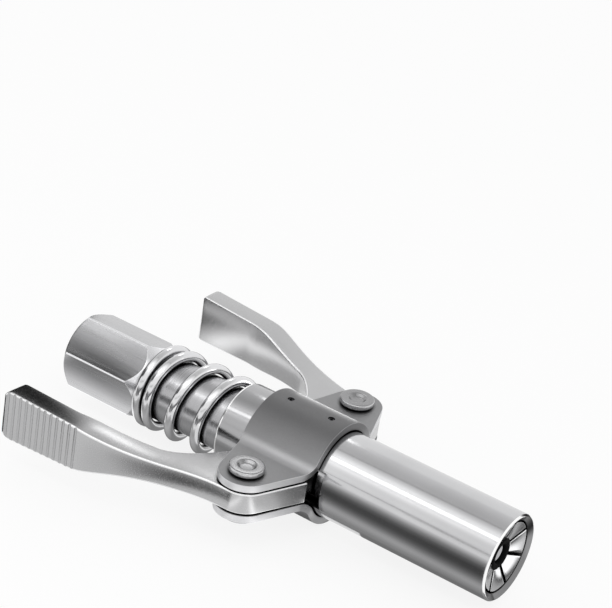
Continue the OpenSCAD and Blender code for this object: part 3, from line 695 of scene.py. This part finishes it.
class COUPLER_OT_levers(CouplerOperator, bpy.types.Operator):
    """Squeeze levers with grooved thumb pads and fingers that reach through the windows"""
    bl_idname = "coupler.levers"
    bl_label = "Levers"

    def plan(self, size):
        """Outline about the pivot, outside towards +Y."""
        def at(x, y):
            return Vector((x * MM, y * MM))
        lean = math.radians(PAD_LEAN)
        along = Vector((math.cos(lean), -math.sin(lean)))
        across = Vector((math.sin(lean), math.cos(lean)))
        end_slant, bend_lag, end_round, tip = 1.2 * MM, 4.5 * MM, 0.5 * MM, 1.4 * MM
        front_out = Vector((PAD_X, 15.5 * MM))
        rear_out = front_out - size.pad_len * along
        rear_in = rear_out - size.lever_thick * across + end_slant * along
        bend_in = front_out - size.lever_thick * across - bend_lag * along
        shoulder_out, shoulder_in = at(-16, 9.5), at(-20.5, 4.9)
        knee, foot = at(-9.75, -6.3), at(-6.3, -9.3)
        hub, nose = 5.9, at(9.85, -9.5)
        hub_end = math.degrees(math.atan2(nose.y, nose.x) + math.acos(hub * MM / nose.length))
        points = [rear_in]
        points += arc(rear_out + end_round * (along - across), end_round, 180 - PAD_LEAN, 90 - PAD_LEAN, 6)
        points += curve(front_out, front_out + 3.5 * MM * along, shoulder_out + at(-9, 3.2), shoulder_out)
        points += curve(shoulder_out, shoulder_out + at(6, -2.13), at(-5.5, hub), at(0, hub))[1:-1]
        points += arc((0, 0), hub * MM, 90, hub_end, 12)
        points += [nose, at(8.75, -10.4)]
        points += arc(at(7.35, -15.3), tip, 0, -90, 6) + arc(at(5.6, -15.3), tip, -90, -180, 6)
        points += [at(4.2, -9.3)]
        points += curve(foot, foot + at(-1.7, 0), knee + at(0.95, -1.7), knee, 8)
        points += curve(knee, knee + at(-2.85, 5.1), shoulder_in + at(4, -1), shoulder_in)[1:]
        points += curve(shoulder_in, shoulder_in + at(-7.5, 2.75), bend_in + 3.5 * MM * along, bend_in)[1:]
        count, first, proud = 12, 0.3 * MM, 0.2 * MM
        places = [first + i * size.groove_pitch for i in range(count)]
        return points, [front_out - place * along + proud * across for place in places]

    def side(self, size):
        """Half height of a lever along X, as a list of points from the pad's end to the hub."""
        corner, spare = 2.3 * MM, 0.15 * MM
        pad, front, low = size.pad_height / 2, size.pad_front / 2, size.lever / 2
        end = PAD_X - size.pad_len * math.cos(math.radians(PAD_LEAN)) - spare
        points = arc((end + corner, pad - corner), corner, 180, 90, 8)
        points += curve(Vector((-36 * MM, front)), Vector((-30 * MM, front - 0.35 * MM)),
                        Vector((-26 * MM, low + 0.15 * MM)), Vector((-14 * MM, low)), 24)
        return points + [Vector((15 * MM, low))]

    def lever(self, size):
        """A lever about its pivot at the origin, on the +Y side."""
        rivet_hole, finger_shadow = 2.58 * MM, -0.95
        points, grooves = self.plan(size)
        heights = self.side(size)

        def height(x):
            for a, b in zip(heights, heights[1:]):
                if a.x <= x <= b.x and b.x > a.x:
                    return a.y + (b.y - a.y) * (x - a.x) / (b.x - a.x)
            return heights[0].y if x < heights[0].x else heights[-1].y

        bm = blank()
        face = outline(bm, points, lambda p: Vector((p.x, p.y, -MM)))
        drawn_out(bm, face, (0, 0, 2 * MM))
        for spot in heights[1:-1]:
            bmesh.ops.bisect_plane(bm, geom=bm.verts[:] + bm.edges[:] + bm.faces[:], dist=1e-7,
                                   plane_co=(spot.x, 0, 0), plane_no=(1, 0, 0))
        for vert in bm.verts:
            vert.co.z = math.copysign(height(vert.co.x), vert.co.z)
        tidy(bm)
        round_edges(bm, size.lever_edge, 3, 40, clamp=False)
        tall = size.pad_height
        bm = cut(bm, rods([(p.x, p.y) for p in grooves], size.groove, (-tall, tall), 24), "DIFFERENCE")
        bm = cut(bm, rods([(0, 0)], rivet_hole, (-tall, tall), 48), "DIFFERENCE")
        spots = [(f, f.calc_center_median()) for f in bm.faces]
        # Painted shadow on the finger's faces inside the window.
        shade(bm, [f for f, c in spots if c.x > 3.5 * MM and c.y < -9.75 * MM], finger_shadow)
        return bm

    def execute(self, context):
        size = context.scene.coupler_sizes
        for name, side, play in (("left", 1, -1.2), ("right", -1, 1.2)):
            bm = self.lever(size)
            turn = Matrix.Rotation(math.radians(play), 3, "Z")
            bmesh.ops.rotate(bm, cent=(0, 0, 0), matrix=turn, verts=bm.verts)
            bmesh.ops.translate(bm, vec=(PIVOT.x, PIVOT.y, -size.lever_drop), verts=bm.verts)
            bmesh.ops.scale(bm, vec=(1, side, 1), verts=bm.verts)
            tidy(bm)
            piece(f"squeeze_lever_{name}", bm, f"lever_{name}", "lever_steel", [f"lever_{name}"])
        return {"FINISHED"}


class COUPLER_OT_rivets(CouplerOperator, bpy.types.Operator):
    """Pivot rivets with round-edged, hollowed heads above and below"""
    bl_idname = "coupler.rivets"
    bl_label = "Rivets"

    def execute(self, context):
        worn_sheen = context.scene.coupler_finish.worn_sheen
        head = (RIVET_HIGH.x - RIVET_LOW.x) / 2
        top = RIVET_HIGH.z
        seat = top - 1.7 * MM
        edge, lip, undercut, shank = 0.4 * MM, 0.55 * MM, 0.65 * MM, 2.5 * MM
        dish, depth = 2.15 * MM, 0.7 * MM
        half = [(top - depth, 0.0), (top - depth, dish - depth), (top, dish), (top, head),
                (seat + lip, head), (seat, head - undercut), (seat, shank)]
        profile = half + [(-x, r) for x, r in reversed(half)]
        upright = Matrix.Rotation(math.radians(-90), 3, "Y")
        for name, side in (("left", 1), ("right", -1)):
            bm = turned(profile, 64, rounds=((edge, (3, 10)), (0.2 * MM, (1, 2, 4, 9, 11, 12))))
            # Painted highlight: the heads' side roundings are brightened.
            sides = [f for f in bm.faces if f.calc_center_median().yz.length > head - edge]
            shade(bm, [f for f in sides if abs(f.normal.x) < 0.75], worn_sheen)
            bmesh.ops.rotate(bm, cent=(0, 0, 0), matrix=upright, verts=bm.verts)
            bmesh.ops.translate(bm, vec=(PIVOT.x, side * PIVOT.y, 0), verts=bm.verts)
            tidy(bm)
            piece(f"pivot_rivet_{name}", bm, "sleeve", "rivet_steel", [f"rivet_{name}"])
        return {"FINISHED"}


class COUPLER_OT_jaws(CouplerOperator, bpy.types.Operator):
    """Ring of seven jaws, each with a heel behind the holder's flange and a nose in the sleeve's cone"""
    bl_idname = "coupler.jaws"
    bl_label = "Jaws"

    def execute(self, context):
        size = context.scene.coupler_sizes
        mouth = SLEEVE_HIGH.x
        heel, end = HOLDER_HIGH.x - 4.8 * MM, HOLDER_HIGH.x
        throat, room, shank, nose = 3.6 * MM, 3.7 * MM, 6.1 * MM, 7.98 * MM
        back, flange, hook, hooked = 7.2 * MM, 6.3 * MM, 5.3 * MM, 2.0 * MM
        cone_x = mouth - SINK
        ring_x, ring_r, groove, gap = end + 2.7 * MM, 4.2 * MM, 0.8 * MM, 0.3 * MM
        profile = [(heel + gap, back), (end - gap, back), (end + 1.2 * MM, shank),
                   (cone_x - (nose - shank) * CONE_LEN / CONE_RISE, shank), (cone_x, nose),
                   (mouth - 2.1 * MM, throat), (mouth - 2.9 * MM, throat), (mouth - 3.3 * MM, room),
                   (ring_x + groove, room), (ring_x + groove, ring_r + groove),
                   (ring_x - groove, ring_r + groove), (ring_x - groove, room), (end + gap, room),
                   (end + gap, flange), (end - hooked, flange), (end - hooked, hook), (heel + gap, hook)]
        pitch = math.tau / len(JAWS)
        first_slit, painted_slit_shade = math.radians(30.2), -0.9
        for i, name in enumerate(JAWS):
            start = first_slit + i * pitch
            bm = turned(profile, 18, rounds=((0.18 * MM, (4, 5)),), angle=pitch, start=start)
            for angle, side in ((start, -1), (start + pitch, 1)):
                normal = Vector((0, -math.sin(angle), math.cos(angle))) * side
                trimmed = bmesh.ops.bisect_plane(
                    bm, geom=bm.verts[:] + bm.edges[:] + bm.faces[:], dist=1e-7,
                    plane_co=-normal * size.slit / 2, plane_no=normal, clear_outer=True)["geom_cut"]
                rim = [e for e in trimmed if isinstance(e, bmesh.types.BMEdge)]
                bmesh.ops.contextual_create(bm, geom=rim)
            tidy(bm)
            round_edges(bm, 0.08 * MM, 2, 60)
            bm.normal_update()
            # Painted shade on the jaws' slit sides and other faces that do not face forward.
            shade(bm, [f for f in bm.faces if f.normal.x < 0.4], painted_slit_shade)
            piece(f"{name}_segment", bm, name, "jaw_steel", [name])
        return {"FINISHED"}


class COUPLER_OT_seal(CouplerOperator, bpy.types.Operator):
    """Rubber seal ring in the throat, round at its lip"""
    bl_idname = "coupler.seal"
    bl_label = "Nozzle seal"

    def execute(self, context):
        tip, outer = 2.02 * MM, SEAL_HIGH.z
        lip, front = outer + 0.2 * MM, SEAL_HIGH.x + 0.5 * MM
        profile = [(SEAL_LOW.x, tip), (SEAL_LOW.x, outer), (SEAL_HIGH.x - MM, lip), (front, lip),
                   (front, tip)]
        bm = turned(profile, 72, rounds=((0.45 * MM, (3,)), (0.9 * MM, (4,))))
        piece("seal_ring", bm, "seal", "black_rubber", ["nozzle_seal"])
        return {"FINISHED"}


class COUPLER_OT_frame_nodes(CouplerOperator, bpy.types.Operator):
    """Finishes for the CAD pieces that stay as they are"""
    bl_idname = "coupler.frame_nodes"
    bl_label = "Inner pieces"

    def execute(self, context):
        slots = {entry["node"]: entry["material_slot"] for entry in frame["record"]["subparts"]}
        for name, obj in frame["nodes"].items():
            obj.data.materials.clear()
            obj.data.materials.append(finish(slots[name]))
        for name in ("seal_spring", "check_spring"):
            compress(frame["nodes"][name], name)
        return {"FINISHED"}


class COUPLER_OT_stage(CouplerOperator, bpy.types.Operator):
    """Floor, world, lights and the camera at the photograph's angle"""
    bl_idname = "coupler.stage"
    bl_label = "Stage"

    def seen(self, tree):
        """1 for camera, glossy and transmission rays."""
        path = node_of(tree, "ShaderNodeLightPath")
        value = path.outputs["Is Camera Ray"]
        for name in ("Is Glossy Ray", "Is Transmission Ray"):
            more = node_of(tree, "ShaderNodeMath", operation="MAXIMUM")
            tree.links.new(value, more.inputs[0])
            tree.links.new(path.outputs[name], more.inputs[1])
            value = more.outputs["Value"]
        return value

    def flat(self, name, corners):
        """A flat sheet of the stage from corners in mm; gives its object and its empty node tree."""
        bm = bmesh.new()
        bm.faces.new([bm.verts.new(Vector(c) * MM) for c in corners])
        mesh = bpy.data.meshes.new(name)
        bm.to_mesh(mesh)
        bm.free()
        obj = bpy.data.objects.new(name, mesh)
        bpy.context.scene.collection.objects.link(obj)
        material = bpy.data.materials.new(name)
        material.use_nodes = True
        material.node_tree.nodes.clear()
        mesh.materials.append(material)
        return obj, material.node_tree

    def card(self, name, corners, along, stops):
        """A card that shows only in the metal, from its front; stops are (mm along it, glow) pairs."""
        obj, tree = self.flat(name, corners)
        obj.visible_camera = obj.visible_diffuse = obj.visible_shadow = obj.visible_transmission = False
        place = node_of(tree, "ShaderNodeTexCoord")
        dot = node_of(tree, "ShaderNodeVectorMath", operation="DOT_PRODUCT")
        dot.inputs[1].default_value = along
        tree.links.new(place.outputs["Object"], dot.inputs[0])
        first, last = stops[0][0], stops[-1][0]
        reach = ranged(tree, dot.outputs["Value"], (first * MM, last * MM), (0, 1))
        ramp = node_of(tree, "ShaderNodeValToRGB")
        marks = ramp.color_ramp.elements
        while len(marks) < len(stops):
            marks.new(0.5)
        peak = max(grey for spot, grey in stops)
        for mark, (spot, grey) in zip(marks, stops):
            mark.position = (spot - first) / (last - first)
            mark.color = (grey / peak, grey / peak, grey / peak, 1)
        glow = node_of(tree, "ShaderNodeEmission", Strength=peak)
        side = node_of(tree, "ShaderNodeNewGeometry")
        clear = node_of(tree, "ShaderNodeBsdfTransparent")
        mix = node_of(tree, "ShaderNodeMixShader")
        output = node_of(tree, "ShaderNodeOutputMaterial")
        tree.links.new(reach, ramp.inputs["Fac"])
        tree.links.new(ramp.outputs["Color"], glow.inputs["Color"])
        tree.links.new(side.outputs["Backfacing"], mix.inputs[0])
        tree.links.new(glow.outputs["Emission"], mix.inputs[1])
        tree.links.new(clear.outputs["BSDF"], mix.inputs[2])
        tree.links.new(mix.outputs["Shader"], output.inputs["Surface"])

    def level_card(self, name, x, y, z, along, stops):
        """A level card that faces up, or down where y is given from high to low."""
        self.card(name, ((x[0], y[0], z), (x[1], y[0], z), (x[1], y[1], z), (x[0], y[1], z)), along, stops)

    def upright_card(self, name, x, y, z, along, stops):
        """An upright card along X that faces -Y, or +Y where z is given from high to low."""
        self.card(name, ((x[0], y, z[0]), (x[1], y, z[0]), (x[1], y, z[1]), (x[0], y, z[1])), along, stops)

    def arch(self, name, start, end, glow, rear=-600, radius=390):
        """A long card over the coupler between two angles from straight up towards the viewer."""
        front = 400
        first, last = (Vector((0, -math.sin(a), math.cos(a))) * radius
                       for a in (math.radians(start), math.radians(end)))
        along = (last - first).normalized()
        ends = ((rear, first), (front, first), (front, last), (rear, last))
        corners = [Vector((x, p.y, p.z)) for x, p in ends]
        low, high = along.dot(first), along.dot(last)
        spots = [low + (high - low) * i / (len(glow) - 1) for i in range(len(glow))]
        self.card(name, corners, along, list(zip(spots, glow)))

    def sleeve_cards(self, low):
        """Cards that shade the sleeve, its window and the saddle's crown."""
        self.upright_card("sleeve_flag", (64, 114), -12.6, (4, low), UP, (
            (low, 0.5), (-7.8, 0.44), (-5.1, 0.28), (-3.1, 0.15), (-1.5, 0.08), (-0.1, 0.07), (1.2, 0.14),
            (2.5, 0.35), (3.2, 0.6), (4, 0.85)))
        self.level_card("under_card", (66, 118), (-13, -6.5), low, ACROSS, (
            (-13, 0.52), (-11, 0.44), (-8.7, 0.33), (-6.5, 0.22)))
        self.level_card("keel_card", (81, 118), (-6.5, 2), low, ACROSS, ((-6.5, 0.22), (2, 0.2)))
        self.upright_card("window_card", (66, 70.6), -10.5, (4.6, 0), UP, (
            (0, 0.2), (2.5, 1.3), (4.6, 1.3)))
        self.upright_card("crown_card", (50, 67), 14, (3, 13), UP, ((3, 4.5), (8, 4.5), (13, 1.5)))

    def hexagon_cards(self, low):
        """Cards that shade the hexagon and the return spring."""
        self.level_card("hexagon_floor_card", (-9, 18), (-30, 4), low, ACROSS, (
            (-30, 0.6), (-20, 0.22), (-16, 0.35), (-13, 0.75), (-10, 1.3), (-6, 1.2), (4, 0.8)))
        self.level_card("spring_floor_card", (18, 44), (-30, 4), low, ACROSS, (
            (-30, 0.6), (-20, 0.4), (-13, 0.5), (-9, 0.4), (-5, 0.25), (0, 0.25), (4, 0.4)))
        behind = ((-25, -30, low), (-25, 40, low), (-25, 40, 30), (-25, -30, 30))
        self.card("end_card", behind, UP, ((low, 0.02), (22, 0.02), (30, 0.5)))
        sloping = ((-60, -22, 46), (1, -22, 46), (1, -49, 32.5), (-60, -49, 32.5))
        self.card("hexagon_card", sloping, ACROSS, (
            (-49, 0.02), (-36, 0.04), (-31, 0.16), (-28, 0.5), (-25, 0.8), (-22, 0.85)))

    def lever_cards(self, low):
        """Cards that shade the hubs, arms and thumb pads of the levers."""
        self.level_card("hub_card", (57, 104), (-62, -13), low, (0.6, 0.8, 0), (
            (-16, 1.0), (-3, 1.0), (1.4, 1.9), (6, 1.15), (12, 1.0), (22, 1.1), (27, 2.1), (31, 1.1),
            (35, 0.85), (52, 0.85)))
        self.level_card("far_lever_card", (-60, 60), (8, 28), low, ALONG, (
            (-60, 0.15), (-4, 0.2), (2, 0.9), (7, 1.9), (10, 1.6), (14, 0.65), (60, 0.55)))
        self.upright_card("pad_card", (-70, 19), -12, (13.5, 42), ALONG, (
            (-70, 0.0), (1, 0.0), (6, 0.1), (12, 0.5), (19, 1.0)))
        self.level_card("arm_card", (20, 57), (-70, -42), low, ALONG, (
            (20, 1.0), (36, 0.85), (46, 0.22), (50, 0.03), (53, 0.05), (55, 0.4), (57, 0.9)))
        sloping = ((-17, 83, 88), (20, 83, 88), (20, 68, 105), (-17, 68, 105))
        self.card("arm_glow", sloping, (0, -0.66, 0.75), ((11, 1.6), (19, 3.2), (34, 3.2)))

    def mouth_cards(self, low):
        """Cards that shade the jaws and the sleeve's front rim."""
        self.level_card("mouth_card", (112, 160), (4, 36), low + 0.2, ALONG, (
            (112, 0.6), (119, 0.45), (122, 0.25), (124, 0.05), (126, 0.07), (128, 0.7), (130, 1.35),
            (160, 1.35)))
        self.upright_card("rim_card", (114.3, 120), 14, (2, 14), UP, (
            (2, 0.2), (5, 0.02), (11, 0.02), (14, 0.5)))

    def overhead_cards(self):
        """The ceiling and the frame of the strip light, with two dark lines along it."""
        self.level_card("ceiling_card", (-600, 500), (420, 0), 420, ACROSS, (
            (0, 0.7), (60, 0.62), (420, 0.9)))
        self.arch("strip_frame", -2, 21, (0.7, 0.78, 0.93, 1.2, 1.5))
        self.arch("strip_fall", 37, 72, (1.6, 1.25, 1.02, 1.0, 1.04, 0.95, 0.85))
        self.arch("strip_line", -1, 2, (0.35, 0.35), rear=-128, radius=380)
        self.arch("strip_foot", 68.5, 71.5, (0.4, 0.4), rear=-134, radius=380)

    def make_world(self, scene, white):
        """A white world, a little dimmer as a light than as a background."""
        dimmed = 0.9
        world = bpy.data.worlds.new("studio")
        scene.world = world
        world.use_nodes = True
        tree = world.node_tree
        background = tree.nodes["Background"]
        background.inputs["Color"].default_value = white
        tree.links.new(ranged(tree, self.seen(tree), (0, 1), (dimmed, 1)), background.inputs["Strength"])

    def make_floor(self, white):
        """A white floor that keeps the coupler's shadow."""
        reach, height = 2000, CAD_BOX[0].z / MM
        grey, glowing = 0.9, 0.85
        corners = ((-reach, -reach, height), (reach, -reach, height), (reach, reach, height),
                   (-reach, reach, height))
        tree = self.flat("floor", corners)[1]
        output = node_of(tree, "ShaderNodeOutputMaterial")
        plain = node_of(tree, "ShaderNodeBsdfDiffuse", Color=(grey, grey, grey, 1))
        glow = node_of(tree, "ShaderNodeEmission", Color=white, Strength=1.0)
        mix = node_of(tree, "ShaderNodeMixShader")
        level = node_of(tree, "ShaderNodeMath", operation="MULTIPLY")
        level.inputs[1].default_value = glowing
        tree.links.new(self.seen(tree), level.inputs[0])
        tree.links.new(level.outputs["Value"], mix.inputs[0])
        tree.links.new(plain.outputs["BSDF"], mix.inputs[1])
        tree.links.new(glow.outputs["Emission"], mix.inputs[2])
        tree.links.new(mix.outputs["Shader"], output.inputs["Surface"])

    def hang_strip(self, scene, power):
        """The strip lamp, which leans from above towards the viewer."""
        lean, distance, rearward = math.radians(29), 0.4, -0.1
        strip = bpy.data.lights.new("strip", "AREA")
        strip.shape = "RECTANGLE"
        strip.size = 1.0
        strip.size_y = 0.105
        strip.energy = power
        lamp = bpy.data.objects.new("strip", strip)
        place = Matrix.Translation((rearward, -distance * math.sin(lean), distance * math.cos(lean)))
        lamp.matrix_world = place @ Matrix.Rotation(-lean, 4, "X")
        scene.collection.objects.link(lamp)

    def set_camera(self, scene, stage):
        """The camera, from its place, the turn and height of its view, and its roll."""
        back = Vector((math.sin(stage.azimuth) * math.cos(stage.elevation),
                       -math.cos(stage.azimuth) * math.cos(stage.elevation), math.sin(stage.elevation)))
        right = Vector((math.cos(stage.azimuth), math.sin(stage.azimuth), 0))
        turn = Matrix((right, back.cross(right), back)).transposed() @ Matrix.Rotation(stage.roll, 3, "Z")
        lens = bpy.data.cameras.new("camera")
        lens.sensor_width = 36.0
        lens.lens = stage.lens
        lens.clip_start = 0.01
        camera = bpy.data.objects.new("camera", lens)
        camera.matrix_world = Matrix.Translation(stage.camera) @ turn.to_4x4()
        scene.collection.objects.link(camera)
        scene.camera = camera

    def execute(self, context):
        scene = context.scene
        stage = scene.coupler_stage
        white = (*stage.floor, 1.0)
        above_floor = CAD_BOX[0].z / MM + 0.4
        scene.view_settings.view_transform = "Standard"
        self.make_world(scene, white)
        self.make_floor(white)
        self.sleeve_cards(above_floor)
        self.hexagon_cards(above_floor)
        self.lever_cards(above_floor)
        self.mouth_cards(above_floor)
        self.overhead_cards()
        self.hang_strip(scene, stage.strip)
        self.set_camera(scene, stage)
        return {"FINISHED"}


class COUPLER_PT_panel(bpy.types.Panel):
    """Builds and finishes the coupler's pieces"""
    bl_idname = "COUPLER_PT_panel"
    bl_label = "Grease coupler"
    bl_space_type = "VIEW_3D"
    bl_region_type = "UI"
    bl_category = "Coupler"

    def draw(self, context):
        column = self.layout.column()
        for operator in OPERATORS:
            column.operator(operator.bl_idname)
        for key, group in GROUPS.items():
            for name in group.__annotations__:
                column.prop(getattr(context.scene, key), name)


GROUPS = {"coupler_sizes": CouplerSizes, "coupler_finish": CouplerFinish, "coupler_stage": CouplerStage}
OPERATORS = (COUPLER_OT_frame_nodes, COUPLER_OT_hexagon, COUPLER_OT_spring, COUPLER_OT_sleeve,
             COUPLER_OT_saddle, COUPLER_OT_levers, COUPLER_OT_rivets, COUPLER_OT_jaws, COUPLER_OT_seal,
             COUPLER_OT_stage)


def register():
    for made in (*GROUPS.values(), *OPERATORS, COUPLER_PT_panel):
        bpy.utils.register_class(made)
    for name, group in GROUPS.items():
        setattr(bpy.types.Scene, name, bpy.props.PointerProperty(type=group))


def unregister():
    for name in GROUPS:
        delattr(bpy.types.Scene, name)
    for made in (COUPLER_PT_panel, *reversed(OPERATORS), *reversed(GROUPS.values())):
        bpy.utils.unregister_class(made)


def main():
    register()
    bpy.ops.coupler.frame_nodes()
    bpy.ops.coupler.hexagon()
    bpy.ops.coupler.spring()
    bpy.ops.coupler.sleeve()
    bpy.ops.coupler.saddle()
    bpy.ops.coupler.levers()
    bpy.ops.coupler.rivets()
    bpy.ops.coupler.jaws()
    bpy.ops.coupler.seal()
    bpy.ops.coupler.stage()


if __name__ == "__main__":
    main()
